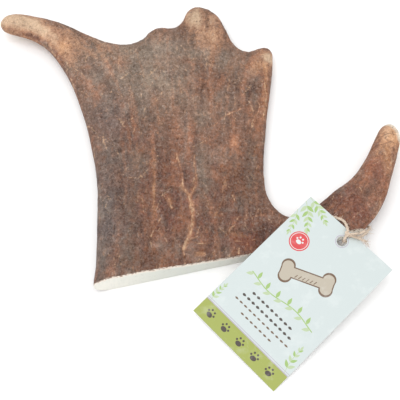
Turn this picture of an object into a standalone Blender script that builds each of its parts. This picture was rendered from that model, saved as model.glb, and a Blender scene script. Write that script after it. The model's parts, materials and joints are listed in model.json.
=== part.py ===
"""A sawn piece of fallow deer antler, sold as a dog chew, with the card that is tied to it.

The antler lies on its back: a flat palm with short points along its top, a long
curved tine at its left and another at its right, and a straight saw cut along its
foot. A ring of twine runs round the right tine and through the card's hole, and the
card leans on the palm with its lower corner on the ground. The antler grew as one
piece: its solids meet at flat faces across the two main forks.

Lengths below are in millimetres, and MM turns them into metres. +X is the object's
right, +Y is its top, and +Z is up. The origin is the middle of the ground it covers.
"""

import math

import bmesh
import bpy
import numpy as np
from mathutils import Matrix, Vector, noise
from mathutils.bvhtree import BVHTree

MM = 0.001

# How thick the palm is at its foot, as (x, thickness), and how thick all of it is by its top
FOOT_THICKNESS = [(-24.0, 14.2), (28.0, 8.2), (44.0, 8.6), (66.0, 9.6)]
TOP_THICKNESS = 9.4
FOOT_Y = -58.0
TOP_Y = 60.0

# How far in the rim rounds over, how round the tines are, and how much of the back is flat
RIM_WIDTH = 7.5
TINE_ROUNDNESS = 0.78
BACK_FLAT = 0.25

# Low swells on the broad front: their height, their size across and along, and their pattern
FRONT_RELIEF = 0.4
RELIEF_SIZE = (26.0, 48.0)
RELIEF_PATTERN = 0.7

# The tines curve up off the ground: where each starts, its slope, and how softly
RIGHT_RISE = (46.0, 0.09, 15.0)
LEFT_RISE = (58.0, 0.10, 12.0)

# The saw cut and the two forks, each a point on the plane and the heading of its normal
SAW_POINT = (0.0, -51.8)
SAW_HEADING = -77.3
LEFT_FORK_POINT = (-65.0, 77.0)
LEFT_FORK_HEADING = 159.0
RIGHT_FORK_POINT = (51.0, -32.0)
RIGHT_FORK_HEADING = 0.0
JOIN_GAP = 0.3

# The outline, seen from above, in order round the antler
LEFT_EDGE = [
    (-45.7, -76), (-45.7, -51), (-46.4, -28), (-47.8, -6.7), (-51.4, 12.5), (-58.5, 37.8),
    (-67.5, 60),
]
LEFT_TINE = [
    (-77.5, 75.5), (-83.5, 81.5), (-91, 85.5), (-98.4, 87.7), (-104, 89.3), (-107.1, 92.6),
    (-106.5, 96.4), (-103.3, 99.8), (-97.4, 101), (-86, 99.8), (-72.4, 96.2),
]
TOP_BUMP = [
    (-57, 88.4), (-45, 83.7), (-36.5, 82.8), (-28.6, 86), (-23.2, 92.8), (-18, 94.7), (-11, 94.2),
]
MIDDLE_POINT = [
    (-5.6, 99.6), (-3.2, 106.6), (1, 109.4), (8, 108.3), (14.7, 102), (18.6, 93.4), (24, 81.4),
]
RIGHT_POINT = [(30, 77.4), (37.6, 80.2), (43, 79.3), (43.7, 73.4), (43.8, 68.8), (42.6, 57.8)]
RIGHT_EDGE = [(39.8, 37), (37.7, 17), (36.7, -4.6), (39.1, -15.4), (45.1, -22.9), (51.1, -25)]
RIGHT_TINE = [
    (60.5, -20), (71, -11.2), (80.2, -4.2), (87.7, 6), (95, 20.4), (98.4, 26), (101.8, 27.7),
    (105.4, 25), (107, 19.5), (105.2, 11.5), (100.6, -2.9), (96, -15.9), (88.5, -27.9),
    (78, -37.6),
]
FOOT_BELOW_SAW = [(66, -49), (57, -70), (42, -84), (-34, -88)]

# The mesh: the slab it starts as, its grid, its smoothing, and what smoothing takes off the rim
SLAB_THICKNESS = 10.0
REMESH_SIZE = 2.1
OUTLINE_RESOLUTION = 8
OUTLINE_STEP = 1.0
SOFTEN_WINDOW = 7
SOFTENING_ROUNDS = 3
SOFTENING_LOSS = 0.4
KEPT_FACES = 0.3
SHARP_EDGE_DEGREES = 35

# The card, its tilt up the antler, and its punched hole
CARD_WIDTH = 52.5
CARD_LENGTH = 80.0
CARD_THICKNESS = 0.4
CARD_CENTRE = (47.7, -64.1, 7.8)
CARD_YAW = -46.4
CARD_SLOPE = (0.071, 0.142)
HOLE_DIAMETER = 5.0
HOLE_TO_EDGE = 6.3
HOLE_SIDES = 24
PUNCH_DEPTH = 4.0

# The twine. Places at the card are across it, along it and above it, from its middle.
TWINE_DIAMETER = 1.3
TWINE_CLEARANCE = 0.3
TWINE_SIDES = 2
TWINE_POINTS = 100
TIE_AT_CARD = [
    (0.3, 35.0, -2.0), (0.3, 35.0, -0.4), (0.2, 35.2, 0.8), (0.0, 36.2, 1.45), (-0.4, 37.8, 1.6),
    (-2.0, 39.8, 1.45),
]
TIE_ROUND_TINE = [
    (73.8, -31.2, 13.8), (71.8, -28.9, 13.1), (68.0, -26.0, 12.6), (64.0, -23.2, 12.2),
    (61.0, -21.0, 11.0), (59.3, -19.8, 8.8), (59.2, -19.7, 6.0), (60.6, -20.2, 3.6),
    (63.6, -21.3, 1.6), (68.0, -22.9, 1.1), (74.0, -25.0, 1.3), (80.0, -27.0, 1.9),
    (84.8, -28.4, 3.0), (87.3, -29.6, 5.0), (86.6, -31.8, 6.4), (83.8, -35.0, 7.2),
    (80.0, -37.6, 9.0), (76.6, -39.4, 9.9),
]
KNOT_PLACE = (-0.3, 37.7, 1.65)
KNOT_SIZE = (3.4, 2.8, 2.2)
KNOT_SIDES = (12, 8)
LOOSE_END_POINTS = 9
LOOSE_ENDS = [
    [(-0.3, 37.7, 1.6), (2.5, 38.9, 1.6), (5.2, 40.2, 1.5), (7.8, 41.2, 0.9)],
    [(-0.3, 37.7, 1.6), (1.8, 39.8, 2.3), (3.6, 42.0, 2.6), (4.6, 44.4, 2.2)],
]


def clear_scene():
    for obj in list(bpy.data.objects):
        bpy.data.objects.remove(obj, do_unlink=True)


def new_collection(name):
    collection = bpy.data.collections.new(name)
    bpy.context.scene.collection.children.link(collection)
    return collection


def new_material(name, colour, roughness):
    material = bpy.data.materials.new(name)
    material.use_nodes = True
    shader = material.node_tree.nodes["Principled BSDF"]
    shader.inputs["Base Color"].default_value = (*colour, 1.0)
    shader.inputs["Roughness"].default_value = roughness
    shader.inputs["Metallic"].default_value = 0.0
    return material


def put_in(collection, obj, material):
    collection.objects.link(obj)
    obj.data.materials.clear()
    obj.data.materials.append(material)
    return obj


def evaluated_mesh(obj):
    """A plain mesh of the object as its modifiers and curve settings shape it."""
    bpy.context.view_layer.update()
    graph = bpy.context.evaluated_depsgraph_get()
    return bpy.data.meshes.new_from_object(obj.evaluated_get(graph))


def weld(mesh):
    work = bmesh.new()
    work.from_mesh(mesh)
    bmesh.ops.remove_doubles(work, verts=work.verts, dist=0.01 * MM)
    bmesh.ops.recalc_face_normals(work, faces=work.faces)
    work.to_mesh(mesh)
    work.free()


def smooth_shading(obj):
    obj.data.shade_smooth()
    obj.data.set_sharp_from_angle(angle=math.radians(SHARP_EDGE_DEGREES))


def points_of(mesh):
    flat = np.empty(len(mesh.vertices) * 3, np.float32)
    mesh.vertices.foreach_get("co", flat)
    return flat.reshape(-1, 3).astype(float)


def move_points(mesh, points):
    mesh.vertices.foreach_set("co", np.asarray(points, np.float32).ravel())
    mesh.update()


def outline_curve(collection):
    """The antler's outline as one smooth closed curve, flat on the ground."""
    knots = (
        LEFT_EDGE + LEFT_TINE + TOP_BUMP + MIDDLE_POINT + RIGHT_POINT
        + RIGHT_EDGE + RIGHT_TINE + FOOT_BELOW_SAW
    )
    data = bpy.data.curves.new("antler_outline", "CURVE")
    data.dimensions = "2D"
    data.fill_mode = "NONE"
    data.resolution_u = OUTLINE_RESOLUTION
    spline = data.splines.new("BEZIER")
    spline.bezier_points.add(len(knots) - 1)
    for point, (x, y) in zip(spline.bezier_points, knots):
        point.co = (x * MM, y * MM, 0)
        point.handle_left_type = "AUTO"
        point.handle_right_type = "AUTO"
    spline.use_cyclic_u = True
    curve = bpy.data.objects.new("antler_outline", data)
    curve.hide_render = True
    curve.display_type = "WIRE"
    collection.objects.link(curve)
    return curve


def even_steps(points, step):
    """The closed line through points, as points an even step apart."""
    closed = np.vstack([points, points[:1]])
    along = np.concatenate([[0], np.cumsum(np.linalg.norm(np.diff(closed, axis=0), axis=1))])
    wanted = np.linspace(0, along[-1], int(along[-1] / step), endpoint=False)
    return np.stack([np.interp(wanted, along, closed[:, i]) for i in range(2)], axis=1)


def inward_normals(line):
    tangent = np.roll(line, -1, axis=0) - np.roll(line, 1, axis=0)
    tangent /= np.linalg.norm(tangent, axis=1)[:, None]
    x, y = line.T
    turn = np.sum(x * np.roll(y, -1) - np.roll(x, -1) * y)
    left = np.stack([-tangent[:, 1], tangent[:, 0]], axis=1)
    return left if turn > 0 else -left


def softened(values, window):
    """A running mean round a closed line."""
    shifts = range(-window, window + 1)
    return sum(np.roll(values, s) for s in shifts) / len(shifts)


def inscribed_radii(line, inward):
    """At each point, the radius of the largest circle that touches it from inside."""
    across = line[None, :, :] - line[:, None, :]
    depth = np.einsum("ijk,ik->ij", across, inward)
    square = np.einsum("ijk,ijk->ij", across, across)
    with np.errstate(divide="ignore", invalid="ignore"):
        radius = np.where(depth > 1e-3, square / (2 * depth), np.inf)
    return radius.min(axis=1)


def palm_half_thickness(x, y):
    foot = np.interp(x, *zip(*FOOT_THICKNESS))
    share = np.clip((y - FOOT_Y) / (TOP_Y - FOOT_Y), 0, 1)
    share = share**2 * (3 - 2 * share)
    return (foot + share * (TOP_THICKNESS - foot)) / 2


def rise(distance, slope, softness):
    """A lift that starts gently and then grows evenly with distance."""
    return slope * (distance + np.sqrt(distance**2 + softness**2)) / 2


def lift_at(x):
    right_start, right_slope, right_soft = RIGHT_RISE
    left_start, left_slope, left_soft = LEFT_RISE
    right = rise(x - right_start, right_slope, right_soft)
    left = rise(-left_start - x, left_slope, left_soft)
    return right + left


def front_relief(x, y):
    return np.array(
        [
            noise.noise(Vector((a / RELIEF_SIZE[0], b / RELIEF_SIZE[1], RELIEF_PATTERN)))
            for a, b in zip(x, y)
        ]
    ) * FRONT_RELIEF


def rounded(slab, line):
    """Turns a square-edged slab's points, in mm, into the antler's round-rimmed form.

    A point's depth in from the outline and its height give a place on a square, and
    that square is mapped to a circle. Where a tine is narrower than the rim, the rim
    from each side reaches its middle, so that its section is an ellipse.
    """
    inward = inward_normals(line)
    radius = softened(np.minimum(inscribed_radii(line, inward), RIM_WIDTH * 2), SOFTEN_WINDOW)
    nearest = np.array([np.argmin(np.sum((line - p[:2]) ** 2, axis=1)) for p in slab])
    normal = inward[nearest]
    depth = np.maximum(np.einsum("ij,ij->i", slab[:, :2] - line[nearest], normal), 0)
    rim = np.minimum(radius[nearest], RIM_WIDTH)
    side = np.clip(1 - depth / rim, 0, 1)
    height = np.clip(slab[:, 2] / np.abs(slab[:, 2]).max(), -1, 1)
    length = np.maximum(np.hypot(side, height), 1e-6)
    larger = np.maximum(side, np.abs(height))
    new_side, new_height = side * larger / length, height * larger / length
    moved_in = rim * (side - new_side) - SOFTENING_LOSS * side
    xy = slab[:, :2] + normal * moved_in[:, None]
    palm = palm_half_thickness(*xy.T)
    share = np.clip(depth / RIM_WIDTH, 0, 1)
    tine = np.minimum(TINE_ROUNDNESS * radius[nearest], palm)
    half = tine + share * (palm - tine)
    z = palm + half * new_height + lift_at(xy[:, 0])
    z += np.clip(new_height, 0, 1) * front_relief(*xy.T)
    return np.column_stack([xy, z - BACK_FLAT])


def antler_form(collection):
    """The whole antler as one mesh, still with its foot below the saw cut."""
    curve = outline_curve(collection)
    line = even_steps(points_of(evaluated_mesh(curve))[:, :2] / MM, OUTLINE_STEP)
    curve.data.fill_mode = "BOTH"
    curve.data.extrude = SLAB_THICKNESS / 2 * MM
    slab = evaluated_mesh(curve)
    weld(slab)
    whole = bpy.data.objects.new("antler_whole", slab)
    whole.hide_render = True
    collection.objects.link(whole)
    remesh = whole.modifiers.new("Remesh", "REMESH")
    remesh.mode = "VOXEL"
    remesh.voxel_size = REMESH_SIZE * MM
    whole.data = evaluated_mesh(whole)
    whole.modifiers.clear()
    move_points(whole.data, rounded(points_of(whole.data) / MM, line) * MM)
    smooth = whole.modifiers.new("Smooth", "SMOOTH")
    smooth.factor = 0.5
    smooth.iterations = SOFTENING_ROUNDS
    fewer = whole.modifiers.new("Decimate", "DECIMATE")
    fewer.ratio = KEPT_FACES
    form = evaluated_mesh(whole)
    bpy.data.objects.remove(whole)
    return form


def plane(point, heading, outward=0.0):
    """A vertical plane's point and normal, in metres, moved outward by some millimetres."""
    turn = math.radians(heading)
    normal = Vector((math.cos(turn), math.sin(turn), 0))
    return Vector((*point, 0)) * MM + normal * outward * MM, normal


def cut_off(work, place, normal):
    """Takes away what lies beyond the plane, and closes the cut with a flat face."""
    everything = work.verts[:] + work.edges[:] + work.faces[:]
    cut = bmesh.ops.bisect_plane(
        work, geom=everything, dist=1e-7, plane_co=place, plane_no=normal, clear_outer=True
    )
    rim = [e for e in cut["geom_cut"] if isinstance(e, bmesh.types.BMEdge)]
    bmesh.ops.holes_fill(work, edges=rim, sides=0)


def antler_piece(name, form, planes, collection, material):
    work = bmesh.new()
    work.from_mesh(form)
    for place, normal in planes:
        cut_off(work, place, normal)
    bmesh.ops.triangulate(work, faces=[f for f in work.faces if len(f.verts) > 4])
    bmesh.ops.recalc_face_normals(work, faces=work.faces)
    mesh = bpy.data.meshes.new(name)
    work.to_mesh(mesh)
    work.free()
    piece = put_in(collection, bpy.data.objects.new(name, mesh), material)
    smooth_shading(piece)
    return piece


def antler(collection, cutters):
    """The palm and its two long tines, cut flat at the saw, the ground and the forks."""
    colour = new_material("antler_brown", (0.24, 0.145, 0.10), 0.62)
    form = antler_form(cutters)
    saw = plane(SAW_POINT, SAW_HEADING)
    ground = (Vector((0, 0, 0)), Vector((0, 0, -1)))
    half_gap = JOIN_GAP / 2
    left_keep = plane(LEFT_FORK_POINT, LEFT_FORK_HEADING, -half_gap)
    left_far = plane(LEFT_FORK_POINT, LEFT_FORK_HEADING + 180, -half_gap)
    right_keep = plane(RIGHT_FORK_POINT, RIGHT_FORK_HEADING, -half_gap)
    right_far = plane(RIGHT_FORK_POINT, RIGHT_FORK_HEADING + 180, -half_gap)
    return [
        antler_piece("palm", form, [saw, ground, left_keep, right_keep], collection, colour),
        antler_piece("left_tine", form, [left_far], collection, colour),
        antler_piece("right_tine", form, [right_far, saw], collection, colour),
    ]


def card_frame():
    """The card's place and turn: a yaw in the ground, then its lean on the antler."""
    slope_x, slope_y = CARD_SLOPE
    up = Vector((-slope_x, -slope_y, 1)).normalized()
    heading = math.radians(CARD_YAW)
    across = Vector((math.cos(heading), math.sin(heading), 0))
    across = (across - up * across.dot(up)).normalized()
    along = up.cross(across)
    turn = Matrix((across, along, up)).transposed()
    return Vector(CARD_CENTRE) * MM, turn


def hang_card(collection, cutters):
    """A stiff printed card with one round hole near its top edge."""
    centre, turn = card_frame()
    bpy.ops.mesh.primitive_cube_add(size=1)
    card = bpy.context.active_object
    card.name = card.data.name = "hang_card"
    card.data.transform(
        Matrix.Diagonal((CARD_WIDTH * MM, CARD_LENGTH * MM, CARD_THICKNESS * MM, 1))
    )
    bpy.ops.mesh.primitive_cylinder_add(
        vertices=HOLE_SIDES, radius=HOLE_DIAMETER / 2 * MM, depth=PUNCH_DEPTH * MM
    )
    punch = bpy.context.active_object
    punch.name = "hole_punch"
    punch.hide_render = True
    punch.display_type = "WIRE"
    for obj, home in ((card, collection), (punch, cutters)):
        for other in list(obj.users_collection):
            other.objects.unlink(obj)
        home.objects.link(obj)
    card.data.materials.append(new_material("card_stock", (0.80, 0.86, 0.86), 0.5))
    card.matrix_world = Matrix.LocRotScale(centre, turn.to_quaternion(), None)
    hole = Vector((0, CARD_LENGTH / 2 - HOLE_TO_EDGE, 0)) * MM
    punch.matrix_world = card.matrix_world @ Matrix.Translation(hole)
    cut = card.modifiers.new("Hole", "BOOLEAN")
    cut.operation = "DIFFERENCE"
    cut.object = punch
    return card


def on_card(place):
    """A place given across, along and above the card, as one in the object's frame."""
    centre, turn = card_frame()
    return centre / MM + turn @ Vector(place)


def smooth_route(knots, count, closed):
    """Points along a smooth curve through the knots."""
    spans = len(knots) if closed else len(knots) - 1
    steps = max(2, round(count / spans))
    route = []
    for i in range(spans):
        if closed:
            before, start, end, after = (knots[(i + k) % len(knots)] for k in (-1, 0, 1, 2))
        else:
            before, start = knots[max(i - 1, 0)], knots[i]
            end, after = knots[i + 1], knots[min(i + 2, spans)]
        for k in range(steps):
            t = k / steps
            linear = (end - before) * t
            square = (2 * before - 5 * start + 4 * end - after) * t**2
            cube = (3 * start - before - 3 * end + after) * t**3
            route.append(start + 0.5 * (linear + square + cube))
    return route if closed else route + [knots[-1]]


def kept_clear(route, solid):
    """The route, pushed out wherever it would lie too near the solid or in it."""
    work = bmesh.new()
    work.from_mesh(solid.data)
    tree = BVHTree.FromBMesh(work)
    work.free()
    apart = TWINE_DIAMETER / 2 + TWINE_CLEARANCE
    clear = []
    for place in route:
        surface, normal, _, _ = tree.find_nearest(place * MM)
        away = place - surface / MM
        if away.length < apart or away.dot(normal) < 0:
            out = normal if away.dot(normal) <= 0 else away.normalized()
            place = surface / MM + out * apart
        clear.append(place)
    return clear


def twine_tube(name, route, closed):
    """A round tube along a route, as a mesh."""
    data = bpy.data.curves.new(name, "CURVE")
    data.dimensions = "3D"
    data.bevel_depth = TWINE_DIAMETER / 2 * MM
    data.bevel_resolution = TWINE_SIDES
    data.use_fill_caps = True
    spline = data.splines.new("POLY")
    spline.points.add(len(route) - 1)
    for point, place in zip(spline.points, route):
        point.co = (*(place * MM), 1)
    spline.use_cyclic_u = closed
    curve = bpy.data.objects.new(name, data)
    bpy.context.scene.collection.objects.link(curve)
    mesh = evaluated_mesh(curve)
    bpy.data.objects.remove(curve)
    weld(mesh)
    return mesh


def knot_mesh():
    """The knot: a flattened ball that sits on the card."""
    work = bmesh.new()
    place = Matrix.Translation(on_card(KNOT_PLACE) * MM) @ card_frame()[1].to_4x4()
    shape = Matrix.Diagonal((*(size * MM for size in KNOT_SIZE), 1))
    around, along = KNOT_SIDES
    bmesh.ops.create_uvsphere(
        work, u_segments=around, v_segments=along, radius=0.5, matrix=place @ shape
    )
    mesh = bpy.data.meshes.new("knot")
    work.to_mesh(mesh)
    work.free()
    return mesh


def twine_tie(tine, collection, cutters):
    """The twine: a ring, its knot and its two cut ends, joined in one solid."""
    knots = [on_card(p) for p in TIE_AT_CARD] + [Vector(p) for p in TIE_ROUND_TINE]
    route = kept_clear(smooth_route(knots, TWINE_POINTS, True), tine)
    tie = bpy.data.objects.new("twine", twine_tube("twine", route, True))
    put_in(collection, tie, new_material("twine_fibre", (0.66, 0.52, 0.38), 0.9))
    joined = [knot_mesh()]
    for i, places in enumerate(LOOSE_ENDS):
        end = smooth_route([on_card(p) for p in places], LOOSE_END_POINTS, False)
        joined.append(twine_tube(f"loose_end_{i + 1}", end, False))
    for mesh in joined:
        helper = bpy.data.objects.new(mesh.name, mesh)
        helper.hide_render = True
        helper.display_type = "WIRE"
        cutters.objects.link(helper)
        join = tie.modifiers.new(mesh.name, "BOOLEAN")
        join.operation = "UNION"
        join.object = helper
    return tie


def centre_on_ground(parts):
    """Moves everything together so that the ground covered has its middle at the origin."""
    corners = []
    for obj in parts:
        mesh = evaluated_mesh(obj)
        corners += [obj.matrix_world @ v.co for v in mesh.vertices]
        bpy.data.meshes.remove(mesh)
    low = Vector(map(min, zip(*corners)))
    high = Vector(map(max, zip(*corners)))
    shift = Vector((-(low.x + high.x) / 2, -(low.y + high.y) / 2, -low.z))
    for obj in bpy.data.objects:
        obj.matrix_world = Matrix.Translation(shift) @ obj.matrix_world
    print("ground middle moved by", [round(s / MM, 2) for s in shift], "mm")


def main():
    clear_scene()
    parts = new_collection("Antler dog chew")
    cutters = new_collection("Cutters")
    pieces = antler(parts, cutters)
    pieces.append(hang_card(parts, cutters))
    pieces.append(twine_tie(pieces[2], parts, cutters))
    centre_on_ground(pieces)


main()
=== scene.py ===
"""The looks of a sawn piece of fallow deer antler with a card tied to it by twine.

The sections follow the object as it is put together: where it is seen from, the antler,
the card, what is printed on the card, the twine, and the table that it all lies on.
Lengths are in millimetres unless MM has turned them into metres.
"""

import math
from itertools import product

import bmesh
import bpy
import numpy as np
from mathutils import Matrix, Vector, geometry
from mathutils.bvhtree import BVHTree
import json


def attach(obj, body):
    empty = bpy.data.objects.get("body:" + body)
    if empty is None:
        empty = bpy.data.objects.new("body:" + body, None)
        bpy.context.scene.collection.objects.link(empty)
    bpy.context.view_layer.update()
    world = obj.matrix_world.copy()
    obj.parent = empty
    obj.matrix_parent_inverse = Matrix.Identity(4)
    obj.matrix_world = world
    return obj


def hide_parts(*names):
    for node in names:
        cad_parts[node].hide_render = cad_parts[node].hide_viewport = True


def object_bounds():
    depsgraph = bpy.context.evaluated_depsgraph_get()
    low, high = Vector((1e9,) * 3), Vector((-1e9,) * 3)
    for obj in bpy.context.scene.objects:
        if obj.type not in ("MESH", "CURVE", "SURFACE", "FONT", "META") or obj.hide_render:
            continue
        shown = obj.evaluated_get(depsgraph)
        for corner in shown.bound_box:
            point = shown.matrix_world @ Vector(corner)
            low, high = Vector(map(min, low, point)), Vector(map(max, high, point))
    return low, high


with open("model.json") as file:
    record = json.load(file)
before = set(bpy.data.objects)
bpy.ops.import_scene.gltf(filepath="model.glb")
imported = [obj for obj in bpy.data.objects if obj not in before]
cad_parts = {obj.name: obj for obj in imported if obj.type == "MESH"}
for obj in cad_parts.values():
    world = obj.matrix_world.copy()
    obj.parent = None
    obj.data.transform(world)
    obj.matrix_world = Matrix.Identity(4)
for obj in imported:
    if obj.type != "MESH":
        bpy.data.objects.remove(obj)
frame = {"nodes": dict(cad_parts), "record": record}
cad_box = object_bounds()
scene = bpy.context.scene


# The view. The antler lies on a table and the camera looks down on it, from the sawn
# foot's side, at a slant that shows the cut.
MM = 0.001
VIEW_SLANT = math.radians(62)
VIEW_DISTANCE = 420
VIEW_TARGET = Vector((4.15, -14.66, 6.0))
VIEW_LENS = 75.6


def placed(name, data):
    """A new object of this data, in the scene."""
    made = bpy.data.objects.new(name, data)
    scene.collection.objects.link(made)
    return made


view_direction = Vector((0, math.cos(VIEW_SLANT), -math.sin(VIEW_SLANT)))
camera = placed("table_camera", bpy.data.cameras.new("table_camera"))
camera.data.sensor_width = 36
camera.data.lens = VIEW_LENS
camera.location = (VIEW_TARGET - view_direction * VIEW_DISTANCE) * MM
camera.rotation_mode = "QUATERNION"
camera.rotation_quaternion = view_direction.to_track_quat("-Z", "Y")
scene.camera = camera


# The antler's bone. One grown piece, so the palm and the two long tines are one closed
# skin here. It is remade on a fine grid, long past the saw cut, and softened.
GRID = 0.72
SOFTENING = 34
FORKS = [((-64.85, 77.34), 159), ((51.15, -31.66), 0)]
FORK_GAP = 0.15
FORK_OVERLAP = 0.4
PAST_THE_SAW = 3.0
NEAR_ENOUGH = 0.02

saw_mount = next(m for m in frame["record"]["mounts"] if m["name"] == "saw_face")
saw_place = np.array(saw_mount["pos_m"]) / MM
saw_outward = np.array(saw_mount["axis"])


def listed(items, name, width, kind=np.float32):
    """One property of every item, as rows of the given width."""
    flat = np.empty(len(items) * width, kind)
    items.foreach_get(name, flat)
    return flat.reshape(-1, width)


def points_of(mesh):
    """The mesh's points, in millimetres."""
    return listed(mesh.vertices, "co", 3).astype(float) / MM


def put_points(mesh, points):
    mesh.vertices.foreach_set("co", np.asarray(points * MM, np.float32).ravel())
    mesh.update()


def softened(values, edges, rounds):
    """Each point's values drawn half way to the mean of its neighbours', so many times."""
    count = len(values)
    a, b = edges.T
    share = np.bincount(edges.ravel(), minlength=count)[:, None]
    for _ in range(rounds):
        near = [np.bincount(a, v[b], count) + np.bincount(b, v[a], count) for v in values.T]
        values = (values + np.stack(near, axis=1) / share) / 2
    return values


def evaluated_mesh(obj):
    graph = bpy.context.evaluated_depsgraph_get()
    return bpy.data.meshes.new_from_object(obj.evaluated_get(graph))


def antler_blank():
    """The three solids run into each other and past the saw cut, as one fine mesh."""
    work = bmesh.new()
    for name in ("palm", "left_tine", "right_tine"):
        work.from_mesh(frame["nodes"][name].data)
    bmesh.ops.remove_doubles(work, verts=work.verts, dist=0.001 * MM)
    for point in work.verts:
        place = np.array(point.co) / MM
        from_saw = (place - saw_place) @ saw_outward
        if abs(from_saw) < NEAR_ENOUGH:
            place = place + saw_outward * PAST_THE_SAW
        for fork, heading in FORKS:
            turn = math.radians(heading)
            across = np.array([math.cos(turn), math.sin(turn), 0])
            from_fork = (place - np.array([*fork, 0])) @ across
            if abs(abs(from_fork) - FORK_GAP) < NEAR_ENOUGH:
                place = place - across * math.copysign(FORK_OVERLAP, from_fork)
        point.co = Vector(place) * MM
    blank = bpy.data.meshes.new("antler_blank")
    work.to_mesh(blank)
    work.free()
    holder = placed("antler_blank", blank)
    remesh = holder.modifiers.new("Remesh", "REMESH")
    remesh.mode = "VOXEL"
    remesh.voxel_size = GRID * MM
    bpy.context.view_layer.update()
    fine = evaluated_mesh(holder)
    bpy.data.objects.remove(holder)
    return fine


antler_mesh = antler_blank()
edges = listed(antler_mesh.edges, "vertices", 2, np.int32)
rough = points_of(antler_mesh)
soft = softened(rough, edges, SOFTENING)
lost = softened(rough - soft, edges, SOFTENING)
put_points(antler_mesh, soft + lost)


# The antler's grain. Antler grows from its foot out to its points, so streaks, ridges
# and grooves follow lines that fan out over the palm and bend into the tines.
GROWTH_LINES = [
    [(-46, -60), (-46, -20), (-49, 0), (-56, 30), (-66, 57), (-78, 75), (-92, 86), (-106, 93)],
    [(-34, -58), (-34, 0), (-38, 40), (-50, 64), (-66, 82), (-82, 93), (-104, 97)],
    [(-20, -55), (-22, 0), (-28, 45), (-38, 82)],
    [(0, -52), (0, 0), (-2, 60), (2, 108)],
    [(20, -48), (20, 0), (22, 50), (30, 76)],
    [(36, -44), (35, -10), (37, 20), (41, 50), (43, 78)],
    [(30, -45), (50, -34), (70, -22), (86, -2), (96, 15), (104, 25)],
    [(50, -44), (66, -38), (80, -33), (92, -20), (101, 0), (106, 20)],
]
FIELD_LOW = np.array([-114.0, -116.0, -4.0])
FIELD_SIZE = np.array([228.0, 232.0, 26.0])
FIELD_STEP = 2.0
SCRAP_REACH = 4.0


def along_line(knots, step):
    """Points an even step apart along straight runs, and the way each run heads."""
    places, headings = [], []
    for start, end in zip(np.array(knots[:-1], float), np.array(knots[1:], float)):
        run = end - start
        length = np.linalg.norm(run)
        for share in np.arange(0, 1, step / length):
            places.append(start + run * share)
            headings.append(run / length)
    return np.array(places), np.array(headings)


def growth_field():
    """The growth's heading on a level grid over the antler."""
    lines = [along_line(knots, 2.0) for knots in GROWTH_LINES]
    places = np.vstack([line[0] for line in lines])
    headings = np.vstack([line[1] for line in lines])
    counts = (FIELD_SIZE[:2] / FIELD_STEP).astype(int) + 1
    field = np.zeros((*counts, 2))
    rows = FIELD_LOW[1] + FIELD_STEP * np.arange(counts[1])
    for i in range(counts[0]):
        x = FIELD_LOW[0] + FIELD_STEP * i
        square = (places[:, 0] - x) ** 2 + (places[:, 1] - rows[:, None]) ** 2
        field[i] = (1 / (square + 9) ** 1.5) @ headings
    return field / np.linalg.norm(field, axis=2)[:, :, None]


growth = growth_field()


def between(values, spot, eased):
    """A grid's values at places between its points, evenly or with soft corners."""
    sides = spot.shape[1]
    spot = np.clip(spot, 0, np.array(values.shape[:sides]) - 1.001)
    cell = spot.astype(int)
    part = spot - cell
    if eased:
        part = part * part * (3 - 2 * part)
    total = 0
    for corner in product((0, 1), repeat=sides):
        weight = math.prod(np.abs(1 - corner[i] - part[:, i]) for i in range(sides))
        found = values[tuple((cell + corner).T)]
        total = total + (weight * found.T).T
    return total


def heading_at(places):
    return between(growth, (places - FIELD_LOW[:2]) / FIELD_STEP, False)


def cloud(seed, cell):
    """A random field in space, from -1 to 1, with lumps about cell millimetres across."""
    size = np.ceil(FIELD_SIZE / cell).astype(int) + 2
    values = np.random.default_rng(seed).uniform(-1, 1, size)
    return lambda places: between(values, (places - FIELD_LOW) / cell, True)


def evened(values):
    return (values - values.mean()) / values.std()


def streaks(places, seed, cell, reach):
    """A random field drawn out along the growth lines, with a mean of 0 and a spread of 1."""
    field = cloud(seed, cell)
    total = field(places)
    steps = max(2, int(reach / cell))
    for way in (1, -1):
        spot = places.copy()
        for _ in range(steps):
            spot[:, :2] += heading_at(spot[:, :2]) * (way * reach / steps)
            total = total + field(spot)
    return evened(total)


def smooth_step(values, low, high):
    share = np.clip((values - low) / (high - low), 0, 1)
    return share * share * (3 - 2 * share)


# Where the antler is marked: blood-vessel grooves that dried pale, hairline scratches and
# cracks, and stains of each tint. A line is (points, half width), then a stain's strength. A
# round stain is (x, y, reach along x, reach along y, strength), and a negative one takes away.
VEINS = [
    ([(-8.1, 9.9), (-4.9, -1.4), (-4.3, -8.4), (-1.8, -15.2)], 0.2),
    ([(1.6, 9), (2.1, -2.9), (1.2, -9.3), (-0.8, -15.1)], 0.2),
    ([(-1.3, -15.7), (0.2, -24.1), (0.3, -30.1), (-0.9, -36.7), (-2.6, -40)], 0.4),
    ([(-2.6, -40), (-3.5, -43.8), (-3, -51)], 0.45),
    ([(-2.6, -40), (2.7, -37.1)], 0.2),
    ([(-2.2, -40.4), (4, -40.9), (9, -40.2)], 0.05),
    ([(-19.3, -38.2), (-14.8, -28.1)], 0.05),
    ([(-13.4, -15.5), (-11.6, -19)], 0.05),
    ([(-10.6, -19.1), (-9.4, -21.5)], 0.3),
    ([(2.9, -46.6), (5.2, -45.9)], 0.4),
    ([(23.3, -25.2), (18.7, -33), (16.2, -36.9)], 0.1),
    ([(20.8, -26), (29, -25.2), (35.5, -24.2)], 0),
    ([(21.1, -38.3), (26, -38.6), (33, -37)], 0.05),
    ([(22.4, -42.5), (22.4, -45.1)], 0.2),
    ([(20.6, -13.4), (21.6, -17.2)], 0),
    ([(18.4, 34.6), (25.2, 37.9)], 0.3),
    ([(11, 27.2), (18.4, 34.6)], 0),
    ([(29.5, 22), (33.4, 32.5), (37, 43)], 0.1),
    ([(38.5, 57.4), (39.7, 46.3), (37.6, 33.7)], 0.2),
]
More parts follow.
